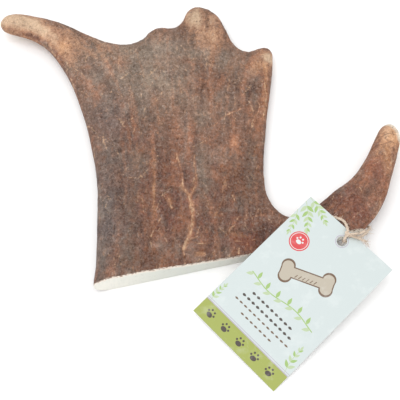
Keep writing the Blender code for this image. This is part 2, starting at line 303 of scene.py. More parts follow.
BACK_VEINS = [
    ([(-12, -50), (-9, -25), (-14, 5), (-24, 40), (-40, 68)], 0.6),
    ([(-9, -25), (2, 0), (6, 36), (4, 70)], 0.5),
    ([(24, -46), (22, -10), (26, 28), (33, 60)], 0.5),
    ([(30, -44), (56, -30), (78, -14), (92, 8)], 0.4),
]
CRACKS = [
    ([(24.6, -11.2), (24, -17), (22.8, -23.6)], 0.2),
    ([(96.2, 13.5), (101, 14.8), (104.6, 14)], 0.15),
    ([(96.5, 18.4), (100.4, 19.8), (104.8, 18.8)], 0.12),
    ([(-97.4, 95.2), (-96.2, 94.2)], 0.1),
    ([(-93.9, 94.8), (-92.9, 93.6)], 0.15),
    ([(-99.6, 92.9), (-97.8, 92.6)], 0.1),
    ([(-94.8, 91.6), (-92.4, 91.4)], 0.15),
    ([(-90.4, 90.6), (-88.4, 89.6)], 0.1),
]
SCRATCHES = 420
PORES = 450
SCRATCH_LENGTH = (2.5, 9)
PORE_LENGTH = (0.8, 3)
STROKE_HALF_WIDTH = 0.2
LINE_FADE = 2.5
LEFT_TINE_FLANK = ((-72, 72), (34, 36))
FLANK_FACING = (-0.5, -0.87)
EDGE_WIDTH = 3.0
RUBBED_AND_HIGHLIT_WIDTH = 3.4
WANDER_LUMPS = 3.5
WANDER_REACH = 0.9
RELIEF_FINE, RELIEF_MEDIUM, RELIEF_BROAD = 0.035, 0.055, 0.05
PIT_DEPTH = 0.06
GROOVE_DEPTH = 0.28
CRACK_DEPTH = 0.35
CHIP_DEPTH = 0.28
RUBBED_AND_HIGHLIT_TIP = [(98.5, 28), (102.5, 27), (106, 23.5), (107.5, 17)]
LEFT_EDGE = [(-58, 37), (-51, 12), (-47.5, -7), (-46, -28), (-45.5, -62)]
AMBER_LINES = [
    ([(39.6, 66), (39.6, 56), (37.9, 33)], 4.4, 1),
    ([(-19.3, 12), (-18.9, -8), (-18.3, -27.5)], 2.6, 0.9),
    ([(16.4, 12), (16.2, -3), (15, -18), (11.5, -26)], 2.4, 0.8),
    ([(-8.5, 38), (-7.4, 24), (-8.1, 10)], 2.6, 0.5),
    ([(-19, 24), (-19.3, 12)], 2.2, 0.5),
    ([(30.5, 38), (33.5, 26), (34, 12)], 3.4, 0.7),
    ([(7.1, -14), (11, -28)], 1.8, 0.7),
    ([(-28.6, -26), (-28, -45)], 2, 0.5),
    ([(-18.8, -28), (-17.4, -47)], 2.2, 0.7),
    ([(17.7, -34.4), (26.4, -36.5)], 3, 0.9),
    ([(-11, -16.5), (-9.6, -21)], 2.6, 1),
    ([(3, -46.2), (6.4, -45.6)], 2.6, 1.1),
    ([(-6.5, -3), (-4.3, -8.4), (-1.8, -15.2)], 2.2, 0.8),
    ([(2.1, -3), (1.2, -9.3), (-0.8, -15.1)], 2, 0.7),
    ([(-1.3, -15.7), (0.2, -24.1), (0.3, -30.1), (-0.9, -36.7), (-3, -43)], 2.4, 0.85),
]
PALE_LINES = [
    ([(-104, 95), (-95, 94.5), (-88, 92)], 9.5, 1.35),
    ([(-88, 92), (-82, 88)], 9.5, 1.05),
    ([(-82, 88), (-76, 83)], 9.5, 0.75),
    ([(-76, 83), (-66, 74)], 10, 0.5),
    ([(-4.6, -9), (-1.4, -15.6), (0, -20)], 1.7, 0.55),
    ([(1.3, -9.3), (-0.8, -15.1)], 1.2, 0.4),
    ([(0, -20), (0.3, -30.1), (-0.9, -36.7), (-3, -44)], 1.5, 0.42),
    ([(3.2, -46.6), (6.4, -46)], 2.2, 0.5),
    ([(-11.4, -17.5), (-9.8, -20.5)], 1.8, 0.45),
    ([(-18.9, -8), (-18.6, -22)], 1.8, 0.3),
    ([(16.2, -6), (14.6, -19), (12, -25)], 1.7, 0.32),
]
STAINS = {
    "pale": [
        (1.6, 99, 8.5, 15, 1.05), (8, 86, 14, 17, 0.55), (10.5, 98, 7, 10, 0.6),
        (41.8, 71.8, 6, 5.5, 1.25), (100.5, 19.5, 9, 15, 0.72), (-102, 96, 9, 9, 0.7),
        (-55, 77, 13, 8, 0.28), (4.2, 32.3, 6, 8, 0.22), (38, 67, 6, 6, 0.5),
        (-68, 78, 24, 17, 0.5), (-88, 84, 12, 9, 0.5), (-70, 88, 14, 8, 0.45),
    ],
    "grey": [
        (-22, 56, 46, 30, 1), (-12, 66, 14, 14, 1), (20, 68, 22, 16, 0.7),
        (5.7, -2.6, 7, 28, 0.75), (4.5, 32, 9, 9, 0.8), (9, 58, 13, 9, -0.6),
        (-64, 66, 14, 16, 0.5), (-25, 75, 52, 17, 1), (2, 74, 22, 12, 0.9),
        (-42, -10, 12, 44, 0.6), (-28, 5, 8, 11, 0.7),
    ],
    "plum": [
        (-42.5, -24, 18, 60, 1.1), (-43, 34, 16, 26, 0.8), (87, -19, 7, 9, 0.5),
    ],
    "ruddy": [
        (-4, -22, 46, 48, 1), (72, -22, 36, 26, 1), (26, -34, 26, 16, 1), (-30, 20, 22, 14, 0.6),
    ],
    "rust": [
        (27, -39, 12, 7, 1), (24, -26, 8, 7, 0.35), (92.5, 0, 8, 13, 0.9),
        (80.5, -22, 9, 11, 0.9), (-8, -39, 12, 6, 0.3),
    ],
    "amber": [
        (98, 5, 8, 26, 1), (103, 18, 9, 14, 1), (90, -16, 7, 14, 0.7), (33.5, 63, 9, 11, 0.95),
        (-70.5, 78, 7, 9, 0.9), (6.3, 53.3, 13, 9, 0.6), (-8, 24, 14, 16, 0.45),
        (10, 86, 12, 14, 0.5), (-19, 43, 9, 9, 0.55), (22, 18, 6.5, 8, 0.8),
        (25, -42, 14, 5, 0.6), (-2, -46, 8, 8, 0.4), (22.6, -34.5, 10, 7, 0.8),
        (93, 8, 9, 20, 0.8), (0, 69, 9, 8, -0.4),
    ],
    "dark": [
        (22.9, 59.3, 6, 8, 0.5), (31, 50, 10, 8, 0.85), (29, -34, 16, 9, 1),
        (22, -42.5, 18, 5, 0.8), (-11, 62, 13, 9, 0.35), (-34, 30, 6, 14, 0.4),
        (-35.5, -14, 5, 36, 0.35), (8, 52, 14, 8, 0.35), (70, -24, 22, 9, 0.4),
        (16, 98, 6, 9, 0.3),
    ],
    "tone": [
        (6, 36, 30, 22, 0.2), (-40, 60, 34, 26, 0.16), (0, -30, 60, 34, -0.14),
        (4.2, 32.3, 8, 8, 0.15), (-4.9, 52, 6, 8, 0.18), (-76, 80, 30, 20, 0.12),
        (-26, 54, 34, 30, 0.2), (-42, -20, 12, 50, -0.08), (-2, 22, 26, 16, 0.17),
        (90, 0, 14, 22, 0.12), (26, -1, 14, 22, -0.28), (9, -22, 7, 18, 0.12),
        (33, -38, 7, 9, -0.34), (-24, -50, 17, 6.5, -0.28), (-20, 83, 10, 8, 0.38),
        (-53, 67, 10, 9, 0.46), (-71, 90, 7, 5, 0.3), (-42, 22, 9, 14, 0.14),
        (1.5, 43, 8, 8, 0.38), (22, 18, 6.5, 8, 0.4), (1.5, 56, 8, 7, 0.22), (12, 36, 8, 7, 0.28),
        (2, -17, 20, 6, 0.14), (16.5, -28, 10, 7, 0.14), (11, -38.5, 8, 5.5, 0.16),
        (-8, -39, 9, 6, -0.16), (32, 68, 8, 7, 0.18), (103, 17, 8, 10, 0.22),
        (70, -16, 8, 9, -0.18), (32, 15, 6, 10, -0.1), (-34, 15, 8, 9, -0.1),
    ],
}


def off_line(places, knots):
    """How far each point is from the line through the knots."""
    nearest = np.full(len(places), 1e9)
    for start, end in zip(np.array(knots[:-1], float), np.array(knots[1:], float)):
        run = end - start
        share = np.clip((places - start) @ run / (run @ run), 0, 1)
        nearest = np.minimum(nearest, np.linalg.norm(places - start - share[:, None] * run, axis=1))
    return nearest


def near_line(places, knots, half_width):
    """1 on the line through the knots, fading to 0 at half_width from it."""
    return np.clip(1 - off_line(places, knots) / half_width, 0, 1)


def drawn_lines(places, lines):
    """1 on any line, falling evenly to 0 at LINE_FADE past its half width."""
    nearest = np.full(len(places), LINE_FADE)
    for knots, half_width in lines:
        corners = np.array(knots, float)
        reach = LINE_FADE + half_width
        inside = (places > corners.min(axis=0) - reach) & (places < corners.max(axis=0) + reach)
        close = np.flatnonzero(inside.all(axis=1))
        away = off_line(places[close], knots) - half_width
        nearest[close] = np.minimum(nearest[close], away)
    return 1 - np.clip(nearest / LINE_FADE, 0, 1)


def strokes(seed, count, lengths, low, high):
    """Short lines strewn at random, most of them along the growth."""
    random = np.random.default_rng(seed)
    feet = random.uniform(low, high, (count, 2))
    heading = heading_at(feet)
    turn = np.arctan2(heading[:, 1], heading[:, 0]) + random.normal(0, 0.5, count)
    reach = random.uniform(*lengths, count)
    bend = random.normal(0, 0.3, count)
    lines = []
    for foot, angle, length, more in zip(feet, turn, reach, bend):
        middle = foot + np.array([math.cos(angle), math.sin(angle)]) * length / 2
        tip = middle + np.array([math.cos(angle + more), math.sin(angle + more)]) * length / 2
        lines.append(([tuple(foot), tuple(middle), tuple(tip)], STROKE_HALF_WIDTH))
    return lines


def patch(places, centre, reach):
    """A soft round or oval stain: 1 in its middle and near 0 past its reach."""
    away = (places[:, :2] - np.array(centre)) / np.array(reach)
    return np.exp(-2 * np.sum(away**2, axis=1))


def stained(places, name):
    """The strongest of the stains of one tint, less those that take away."""
    most, less = np.zeros(len(places)), np.zeros(len(places))
    for x, y, wide, tall, strength in STAINS[name]:
        stain = strength * patch(places, (x, y), (wide, tall))
        most = np.maximum(most, stain)
        less = less + np.minimum(stain, 0)
    return most + less


places = points_of(antler_mesh)
normals = listed(antler_mesh.vertex_normals, "vector", 3).astype(float)
wander = np.stack([cloud(seed, WANDER_LUMPS)(places) for seed in (31, 32)], axis=1)
wander = wander * WANDER_REACH
fine = streaks(places, 11, 0.8, 3.0)
medium = streaks(places, 12, 1.7, 9.0)
broad = streaks(places, 13, 4.5, 20.0)
blotch = evened(cloud(14, 11.0)(places) + 0.6 * cloud(15, 5.0)(places))
pits = evened(cloud(16, 1.1)(places))
on_front = smooth_step(normals[:, 2], 0.1, 0.5)
on_back = smooth_step(-normals[:, 2], 0.1, 0.5)
flat_places = places[:, :2]
vein = drawn_lines(flat_places + wander * 0.7, VEINS) * (on_front > 0.5)
vein = np.maximum(vein, drawn_lines(flat_places + wander, BACK_VEINS) * (on_back > 0.5))
crack = drawn_lines(flat_places + wander * 0.3, CRACKS) * (on_front > 0.5)
box_low, box_high = flat_places.min(axis=0), flat_places.max(axis=0)
strewn = strokes(18, SCRATCHES, SCRATCH_LENGTH, box_low, box_high)
scratch = drawn_lines(flat_places + wander * 0.3, strewn)
strewn = strokes(19, PORES, PORE_LENGTH, box_low, box_high)
pore = drawn_lines(flat_places + wander * 0.3, strewn)

stains = {name: stained(places, name) for name in STAINS}
for name, lines in (("pale", PALE_LINES), ("amber", AMBER_LINES)):
    for knots, half_width, strength in lines:
        line = strength * near_line(flat_places + wander, knots, half_width)
        stains[name] = np.maximum(stains[name], line)
# Painted shade: the left tine's lower flank, facing away from the light, is made ruddier and less
# creamy. It goes into the ruddy stains.
lower_flank_shade = smooth_step(normals[:, :2] @ np.array(FLANK_FACING), 0.25, 0.7)
lower_flank_shade = np.clip(1.3 * lower_flank_shade * patch(places, *LEFT_TINE_FLANK), 0, 0.6)
stains["pale"] = stains["pale"] * (1 - lower_flank_shade)
stains["ruddy"] = np.maximum(stains["ruddy"], lower_flank_shade)
stains["ruddy"] = np.maximum(stains["ruddy"], 0.5 * near_line(flat_places, LEFT_EDGE, EDGE_WIDTH))
# Painted shade: the steep sides along the antler's upper edges, those facing +Y, are darkened slate
# where shade falls on them.
side = 1 - smooth_step(np.abs(normals[:, 2]), 0.05, 0.4)
stains["painted_edge_shade"] = side * smooth_step(normals[:, 1], -0.2, 0.5)
# Bare bone along the outline of the right tine's tip: rubbed wear, and also a painted highlight on
# that edge.
rubbed_and_highlit = near_line(flat_places + 0.6 * wander, RUBBED_AND_HIGHLIT_TIP, RUBBED_AND_HIGHLIT_WIDTH)
stains["rubbed_and_highlit"] = smooth_step(rubbed_and_highlit, 0.1, 0.7)
stains["tone"] = 0.5 + stains["tone"] + 0.04 * broad + 0.03 * blotch
from_saw = (places - saw_place) @ saw_outward

height = RELIEF_FINE * fine + RELIEF_MEDIUM * medium + RELIEF_BROAD * broad
height = height - PIT_DEPTH * np.clip(pits - 0.9, 0, 2)
height = height * (1 - 0.6 * np.clip(stains["pale"], 0, 1))
height = height - GROOVE_DEPTH * smooth_step(vein, 0.75, 1.0)
height = height - CRACK_DEPTH * smooth_step(crack, 0.75, 1.0)
chips = np.clip(evened(cloud(17, 1.3)(places)) + 0.2, 0, 2) * smooth_step(from_saw, -1.6, -0.1)
height = height - CHIP_DEPTH * chips * smooth_step(normals[:, 2], 0.2, 0.7) * (from_saw < 0.6)
places = places + normals * height[:, None]
low, high = (np.array(corner) / MM for corner in cad_box)
places = np.clip(places, [low[0], low[1], 0.0], high)
put_points(antler_mesh, places)

for name, values in {
    "grain_fine": 0.5 + 0.2 * fine,
    "grain_medium": 0.5 + 0.2 * medium,
    "grain_broad": 0.5 + 0.2 * broad,
    "to_saw": -from_saw / SCRAP_REACH,
    "vein": vein,
    "crack": crack,
    "scratch": scratch,
    "pore": pore,
    **stains,
}.items():
    layer = antler_mesh.attributes.new(name, "FLOAT", "POINT")
    layer.data.foreach_set("value", np.clip(values, 0, 1).astype(np.float32))


# The saw cut: a flat face across the foot, cut with a hand saw through hard outer bone
# and a spongy core. Its front edge is chipped, and scraps of skin hang over it.
CUT_SPACING = 0.6
RIM_STEP = 1.0
HARD_BONE = 1.6
SPONGY_MIDDLE = 6.0
SPONGY_REACH = 42.0

work = bmesh.new()
work.from_mesh(antler_mesh)
under_rim = work.verts.layers.float.new("under_rim")
spongy = work.verts.layers.float.new("spongy")
everything = work.verts[:] + work.edges[:] + work.faces[:]
cut = bmesh.ops.bisect_plane(
    work, geom=everything, dist=1e-7, plane_co=saw_place * MM, plane_no=saw_outward,
    clear_outer=True,
)
rim_edges = [e for e in cut["geom_cut"] if isinstance(e, bmesh.types.BMEdge) and e.is_boundary]
rim = sorted({v for e in rim_edges for v in e.verts}, key=lambda v: v.index)
work.verts.index_update()
cut_along = np.array([-saw_outward[1], saw_outward[0], 0])


def on_cut(place):
    """A place on the saw face as (along it, height), in millimetres."""
    offset = np.array(place) / MM - saw_place
    return Vector((offset @ cut_along, place[2] / MM))


rim_index = {v: i for i, v in enumerate(rim)}
flat = [on_cut(v.co) for v in rim]
outline_pairs = [(rim_index[e.verts[0]], rim_index[e.verts[1]]) for e in rim_edges]
span = np.array(flat)
along_rim = np.arange(span[:, 0].min(), span[:, 0].max(), RIM_STEP)
rim_tops = [span[np.abs(span[:, 0] - t) <= RIM_STEP, 1].max() for t in along_rim]
jitter = np.random.default_rng(21)
inside = [
    Vector((t + jitter.uniform(-0.15, 0.15), z + jitter.uniform(-0.15, 0.15)))
    for t in np.arange(span[:, 0].min(), span[:, 0].max(), CUT_SPACING)
    for z in np.arange(CUT_SPACING, span[:, 1].max(), CUT_SPACING)
]
filled = geometry.delaunay_2d_cdt(flat + inside, outline_pairs, [], 1, 1e-5)
cut_points = []
for place, sources in zip(filled[0], filled[3]):
    known = [s for s in sources if s < len(flat)]
    if known:
        cut_points.append(rim[known[0]])
    else:
        spot = saw_place + cut_along * place[0]
        cut_points.append(work.verts.new(Vector((spot[0], spot[1], place[1])) * MM))
    depth = np.interp(place[0], along_rim, rim_tops) - place[1]
    cut_points[-1][under_rim] = depth
    fading = math.exp(-2 * ((place[0] - SPONGY_MIDDLE) / SPONGY_REACH) ** 2)
    cut_points[-1][spongy] = fading * min(max((depth - HARD_BONE) / HARD_BONE, 0), 1)
for corners in filled[2]:
    face = work.faces.new([cut_points[i] for i in corners])
    face.material_index = 1
    face.smooth = False
bmesh.ops.recalc_face_normals(work, faces=work.faces)
work.to_mesh(antler_mesh)
work.free()
for polygon in antler_mesh.polygons:
    polygon.use_smooth = polygon.material_index == 0
antler = placed("antler", antler_mesh)
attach(antler, "root")
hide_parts("palm", "left_tine", "right_tine")


# The antler's finish: brown skin over pale bone, darkest and ruddy low on the palm, grey
# across its top, and rubbed to cream on the points. Painted shade darkens its steep upper edges and
# the left tine's lower flank, and a painted highlight lightens the right tine's tip edge.


def node(tree, kind, values=None, **settings):
    """A new shader node, its settings, and its sockets' values or what they are joined to."""
    made = tree.nodes.new(kind)
    for name, value in settings.items():
        setattr(made, name, value)
    for socket, value in (values or {}).items():
        if isinstance(value, bpy.types.NodeSocket):
            tree.links.new(value, made.inputs[socket])
        else:
            made.inputs[socket].default_value = value
    return made


def mixed(tree, share, first, second, blend="MIX"):
    """Two colours mixed by a share of the second."""
    made = node(tree, "ShaderNodeMix", data_type="RGBA", blend_type=blend)
    for index, value in ((0, share), (6, first), (7, second)):
        if isinstance(value, bpy.types.NodeSocket):
            tree.links.new(value, made.inputs[index])
        elif index == 0:
            made.inputs[index].default_value = value
        else:
            made.inputs[index].default_value = (*value, 1)
    return made.outputs[2]


def worked(tree, operation, first, second=0.0, clamp=False):
    """Two numbers put together, as an output."""
    values = {0: first, 1: second}
    return node(tree, "ShaderNodeMath", values, operation=operation, use_clamp=clamp).outputs[0]


def spread(tree, value, low, high, to_low=0.0, to_high=1.0):
    """A number's range stretched to another, without going past its ends."""
    values = {0: value, 1: low, 2: high, 3: to_low, 4: to_high}
    return node(tree, "ShaderNodeMapRange", values, clamp=True).outputs[0]


def painted(tree, name):
    """What the mesh says at this point under this name."""
    return node(tree, "ShaderNodeAttribute", attribute_name=name).outputs["Fac"]


def new_material(name):
    """A new material, its tree and its shader."""
    material = bpy.data.materials.new(name)
    material.use_nodes = True
    return material, material.node_tree, material.node_tree.nodes["Principled BSDF"]


def noise(tree, place, scale, detail, roughness=0.5, distortion=0.0):
    values = {"Vector": place, "Scale": scale, "Detail": detail, "Roughness": roughness,
              "Distortion": distortion}
    return node(tree, "ShaderNodeTexNoise", values).outputs["Fac"]


def bumped(tree, shader, strength, depth, height):
    """Bumps on a shader: how strong, how many millimetres deep, and from what height."""
    values = {"Strength": strength, "Distance": depth * MM, "Height": height}
    bump = node(tree, "ShaderNodeBump", values)
    tree.links.new(bump.outputs[0], shader.inputs["Normal"])


def new_group(name, inputs, outputs):
    group = bpy.data.node_groups.new(name, "ShaderNodeTree")
    for socket, kind, value in inputs:
        made = group.interface.new_socket(socket, in_out="INPUT", socket_type=kind)
        made.default_value = value
    for socket, kind in outputs:
        group.interface.new_socket(socket, in_out="OUTPUT", socket_type=kind)
    return group, group.nodes.new("NodeGroupInput"), group.nodes.new("NodeGroupOutput")


def speckle_group():
    """Specks of two sizes: a mask of each, and a height for bumps."""
    group, given, out = new_group(
        "Specks",
        [("Size", "NodeSocketFloat", 1.0), ("Amount", "NodeSocketFloat", 0.5)],
        [("Fine", "NodeSocketFloat"), ("Coarse", "NodeSocketFloat"), ("Height", "NodeSocketFloat")],
    )
    place = node(group, "ShaderNodeTexCoord").outputs["Object"]
    scale = worked(group, "DIVIDE", 1 / MM, given.outputs["Size"])
    fine = noise(group, place, scale, 3.0, 0.6)
    wide = worked(group, "MULTIPLY", scale, 0.31)
    coarse = noise(group, place, wide, 4.0, 0.65)
    low = worked(group, "SUBTRACT", 0.72, worked(group, "MULTIPLY", given.outputs["Amount"], 0.3))
    high = worked(group, "ADD", low, 0.12)
    group.links.new(spread(group, fine, low, high), out.inputs["Fine"])
    group.links.new(spread(group, coarse, low, high), out.inputs["Coarse"])
    height = worked(group, "ADD", worked(group, "MULTIPLY", fine, 0.4), coarse)
    group.links.new(height, out.inputs["Height"])
    return group


specks = speckle_group()

BROWN = (0.172, 0.094, 0.064)
CHESTNUT = (0.140, 0.062, 0.045)
TAUPE = (0.215, 0.165, 0.125)
PLUM = (0.124, 0.096, 0.088)
AMBER = (0.285, 0.126, 0.070)
TAN = (0.37, 0.205, 0.125)
CREAM = (0.56, 0.40, 0.27)
UMBER = (0.070, 0.037, 0.028)
SLATE = (0.13, 0.105, 0.085)
ASH = (0.27, 0.215, 0.175)
BARE_BONE = (0.62, 0.56, 0.46)
RUST = (0.21, 0.072, 0.045)
DUST = (0.38, 0.30, 0.25)
HONEY = (0.47, 0.25, 0.13)
STRAW = (0.52, 0.335, 0.21)


def antler_skin():
    material, tree, shader = new_material("antler_skin")
    place = node(tree, "ShaderNodeTexCoord").outputs["Object"]

    def mottle(size, detail, roughness, stretch, shift):
        """Fractal noise with its largest lumps size millimetres across, drawn out along Y."""
        moved = node(
            tree, "ShaderNodeMapping",
            {"Vector": place, "Location": (shift, 0, 0), "Scale": (1, 1 / stretch, 1)},
        ).outputs[0]
        return noise(tree, moved, 1 / (size * MM), detail, roughness, 0.4)

    def marked(name):
        return painted(tree, name)

    def plus(first, second):
        return worked(tree, "ADD", first, second)

    def stretched(value, low, high, to_low=0.0, to_high=1.0):
        return spread(tree, value, low, high, to_low, to_high)

    def times(first, second):
        return worked(tree, "MULTIPLY", first, second)

    def hairlines(size, stretch, shift):
        """Thin broken lines, where a stretched noise passes its middle value."""
        level = mottle(size, 2.0, 0.5, stretch, shift)
        off = worked(tree, "ABSOLUTE", worked(tree, "SUBTRACT", level, 0.5))
        broken = stretched(mottle(2.5, 3.0, 0.6, 1.0, shift + 4), 0.5, 0.62)
        return times(stretched(off, 0.022, 0.004), broken)

    medium, fine, broad = (marked("grain_" + size) for size in ("medium", "fine", "broad"))
    ruddy, grey, plum, amber = (marked(name) for name in ("ruddy", "grey", "plum", "amber"))
    cold = worked(tree, "MAXIMUM", grey, plum)
    room = stretched(cold, 0.2, 0.9, 1.0, 0.25)
    warm = mottle(9.0, 5.0, 0.6, 1.7, 0.3)
    cool = mottle(11.0, 5.0, 0.6, 1.5, 0.7)
    dark = plus(mottle(4.0, 7.0, 0.72, 1.9, 1.1), times(marked("dark"), 0.26))
    light = mottle(1.6, 4.0, 0.75, 1.2, 2.3)
    red = stretched(mottle(3.2, 5.0, 0.65, 1.6, 5.1), 0.5, 0.66)
    gloom = mottle(1.4, 4.0, 0.75, 1.4, 3.1)
    flecks = mottle(2.0, 8.0, 0.9, 1.1, 1.9)
    pale = plus(marked("pale"), stretched(flecks, 0.3, 0.7, -0.18, 0.18))
    pale = plus(pale, stretched(medium, 0.2, 0.8, -0.12, 0.12))
    worn, thin = stretched(pale, 0.4, 1.0), stretched(pale, 0.12, 0.5)
    rag = mottle(1.2, 4.0, 0.8, 1.5, 8.3)
    gaps = mottle(5.0, 3.0, 0.6, 1.2, 2.9)
    vein = plus(marked("vein"), stretched(rag, 0.3, 0.7, 0.14, -0.14))
    vein = plus(vein, stretched(gaps, 0.35, 0.65, 0.04, -0.16))
    scratch = plus(marked("scratch"), stretched(rag, 0.35, 0.65, 0.06, -0.16))
    pore = plus(marked("pore"), stretched(flecks, 0.35, 0.65, -0.2, 0.05))
    dull = worked(tree, "MAXIMUM", marked("crack"), pore)

    colour = BROWN
    for mask, strength, tint in (
        # ruddy also holds painted shade on the left tine's lower flank
        (ruddy, 0.9, CHESTNUT),
        (grey, 0.95, TAUPE),
        (plum, 0.9, PLUM),
        (amber, 0.9, AMBER),
        (times(stretched(warm, 0.48, 0.66), room), 0.8, AMBER),
        (stretched(cool, 0.52, 0.70), 0.55, ASH),
        (stretched(dark, 0.52, 0.74), 0.8, UMBER),
        (stretched(broad, 0.42, 0.1), 0.35, SLATE),
        (times(stretched(medium, 0.6, 0.95), room), 0.5, AMBER),
        (times(stretched(medium, 0.4, 0.05), room), 0.45, UMBER),
        # painted shade on the steep upper edges
        (marked("painted_edge_shade"), 0.3, SLATE),
        (stretched(light, 0.54, 0.68), 0.4, DUST),
        (times(times(red, ruddy), room), 0.5, RUST),
        (marked("rust"), 0.65, RUST),
        (stretched(gloom, 0.56, 0.70), 0.6, UMBER),
        (thin, 0.85, TAN),
        (times(thin, stretched(amber, 0.3, 0.9)), 0.6, HONEY),
        (stretched(pale, 0.5, 1.0), 0.9, CREAM),
        (stretched(amber, 0.65, 1.0), 0.35, HONEY),
        # rubbed bone on the right tine's tip edge, partly a painted highlight
        (marked("rubbed_and_highlit"), 0.8, BARE_BONE),
        (hairlines(4.0, 2.2, 6.3), 0.5, TAN),
        (hairlines(2.6, 1.5, 7.7), 0.4, DUST),
        (hairlines(3.4, 1.8, 9.1), 0.6, UMBER),
        (stretched(vein, 0.66, 0.92), 0.55, AMBER),
        (stretched(vein, 0.88, 1.02), 0.95, STRAW),
        (stretched(scratch, 0.88, 1.0), 0.6, STRAW),
        (stretched(dull, 0.88, 1.0), 0.65, UMBER),
    ):
        colour = mixed(tree, times(mask, strength), colour, tint)

    grit = mottle(0.9, 2.0, 0.6, 1.3, 4.2)
    bright = plus(marked("tone"), 0.5)
    blotches = stretched(flecks, 0.2, 0.8, -0.12, 2.12)
    blotches = times(blotches, stretched(fine, 0.0, 1.0, 0.92, 1.08))
    calm = worked(tree, "SUBTRACT", 1.0, times(worn, 0.5))
    blotches = plus(times(worked(tree, "SUBTRACT", blotches, 1.0), calm), 1.0)
    bright = times(bright, blotches)
    grey_level = node(tree, "ShaderNodeCombineColor", {0: bright, 1: bright, 2: bright}).outputs[0]
    colour = mixed(tree, 1.0, colour, grey_level, "MULTIPLY")
    glint = times(worked(tree, "SUBTRACT", grit, 0.5), 0.13)
    glint = node(tree, "ShaderNodeCombineColor", {0: glint, 1: glint, 2: glint}).outputs[0]
    colour = mixed(tree, 1.0, colour, glint, "ADD")
    scrap = stretched(flecks, 0.35, 0.65, 0.0, 0.08)
    bare = worked(tree, "LESS_THAN", marked("to_saw"), scrap)
    colour = mixed(tree, times(bare, 0.7), colour, BARE_BONE)
    tree.links.new(colour, shader.inputs["Base Color"])
    rough = stretched(marked("pale"), 0.2, 0.9, 0.7, 0.5)
    tree.links.new(rough, shader.inputs["Roughness"])
    shader.inputs["Specular IOR Level"].default_value = 0.25
    bumped(tree, shader, 0.6, 0.3, flecks)
    return material


HARD_CREAM = (0.84, 0.81, 0.74)
BLUSH = (0.78, 0.66, 0.55)
SPONGE = (0.63, 0.645, 0.59)
PORE_SHADE = (0.34, 0.33, 0.29)


def sawn_bone():
    material, tree, shader = new_material("sawn_bone")
    place = node(tree, "ShaderNodeTexCoord").outputs["Object"]
    pores = node(tree, "ShaderNodeGroup", {"Size": 1.0, "Amount": 0.4}, node_tree=specks)
    lines = node(
        tree, "ShaderNodeMapping", {"Vector": place, "Rotation": (0, 0.3, 0), "Scale": (1, 1, 0.12)}
    ).outputs[0]
    sawing = noise(tree, lines, 1 / (0.9 * MM), 3.0)
    edge = noise(tree, place, 1 / (1.1 * MM), 5.0)
    sponge = painted(tree, "spongy")
    colour = mixed(tree, sponge, HARD_CREAM, SPONGE)
    holes = worked(tree, "MULTIPLY", pores.outputs["Coarse"], sponge)
    colour = mixed(tree, worked(tree, "MULTIPLY", holes, 0.6), colour, PORE_SHADE)
    colour = mixed(tree, spread(tree, sawing, 0.45, 0.7, 0.0, 0.3), colour, SPONGE)
    depth = painted(tree, "under_rim")
    ragged = worked(tree, "ADD", depth, spread(tree, edge, 0.35, 0.65, 1.1, -1.1))
    colour = mixed(tree, spread(tree, ragged, 2.6, 0.9), colour, BLUSH)
    colour = mixed(tree, spread(tree, ragged, 0.75, 0.45, 0.0, 0.85), colour, BROWN)
    tree.links.new(colour, shader.inputs["Base Color"])
    shader.inputs["Roughness"].default_value = 0.7
    relief = worked(tree, "ADD", sawing, worked(tree, "MULTIPLY", pores.outputs["Height"], 0.6))
    bumped(tree, shader, 0.4, 0.2, relief)
    return material


antler_mesh.materials.append(antler_skin())
antler_mesh.materials.append(sawn_bone())


# The hang card: a stiff white card, printed on its front, with one round hole punched
# near its top edge. The twine holds it, and it leans on the palm's edge.
CARD_WIDTH = 52.5
CARD_LENGTH = 80.0
CARD_THICKNESS = 0.4
CARD_CENTRE = (47.85, -63.76, 7.8)
CARD_YAW = -46.4
CARD_SLOPE = (0.071, 0.142)
CARD_BOW = 0.15
HOLE_RADIUS = 2.5
HOLE_PLACE = (0, CARD_LENGTH / 2 - 6.3)
CARD_GRID = 2.5


def card_frame():
    """The card's middle, and its turn: columns across it, along it and up out of it."""
    slope_x, slope_y = CARD_SLOPE
    up = Vector((-slope_x, -slope_y, 1)).normalized()
    heading = math.radians(CARD_YAW)
    across = Vector((math.cos(heading), math.sin(heading), 0))
    across = (across - up * across.dot(up)).normalized()
    return Vector(CARD_CENTRE), Matrix((across, up.cross(across), up)).transposed()


card_centre, card_turn = card_frame()


def on_card(place):
    """A place given across, along and above the card, from its middle, in millimetres."""
    return card_centre + card_turn @ Vector(place)


# What is printed on the card: a pale ground, a lime band of paw prints along its foot under
# mauve rules, green sprigs, a red badge with a white paw, a drawn bone, a garland and four
# rows of seeds. Each is an outline on the card.
GROUND_INK = (0.55, 0.61, 0.605)
LIME_INK = (0.32, 0.365, 0.078)
MAUVE_INK = (0.42, 0.37, 0.44)
SEPIA_INK = (0.15, 0.09, 0.052)
BUFF_INK = (0.46, 0.41, 0.33)
LEAF_INK = (0.31, 0.46, 0.15)
PALE_LEAF_INK = (0.44, 0.54, 0.33)
DARK_INK = (0.06, 0.045, 0.036)
RED_INK = (0.60, 0.055, 0.06)
WHITE_INK = (0.68, 0.70, 0.69)
BAND_HEIGHT = 9.0
BONE_PLACE, BONE_TURN = (0.5, 9.0), 24
BADGE_PLACE = (-14.5, 19.5)
GARLAND_HEIGHT = -7.5

half_width, half_length = CARD_WIDTH / 2, CARD_LENGTH / 2


def disc(centre, radius, sides=28):
    turns = [2 * math.pi * i / sides for i in range(sides)]
    return [(centre[0] + radius * math.cos(a), centre[1] + radius * math.sin(a)) for a in turns]


def oblong(left, right, low, high):
    return [(left, low), (right, low), (right, high), (left, high)]


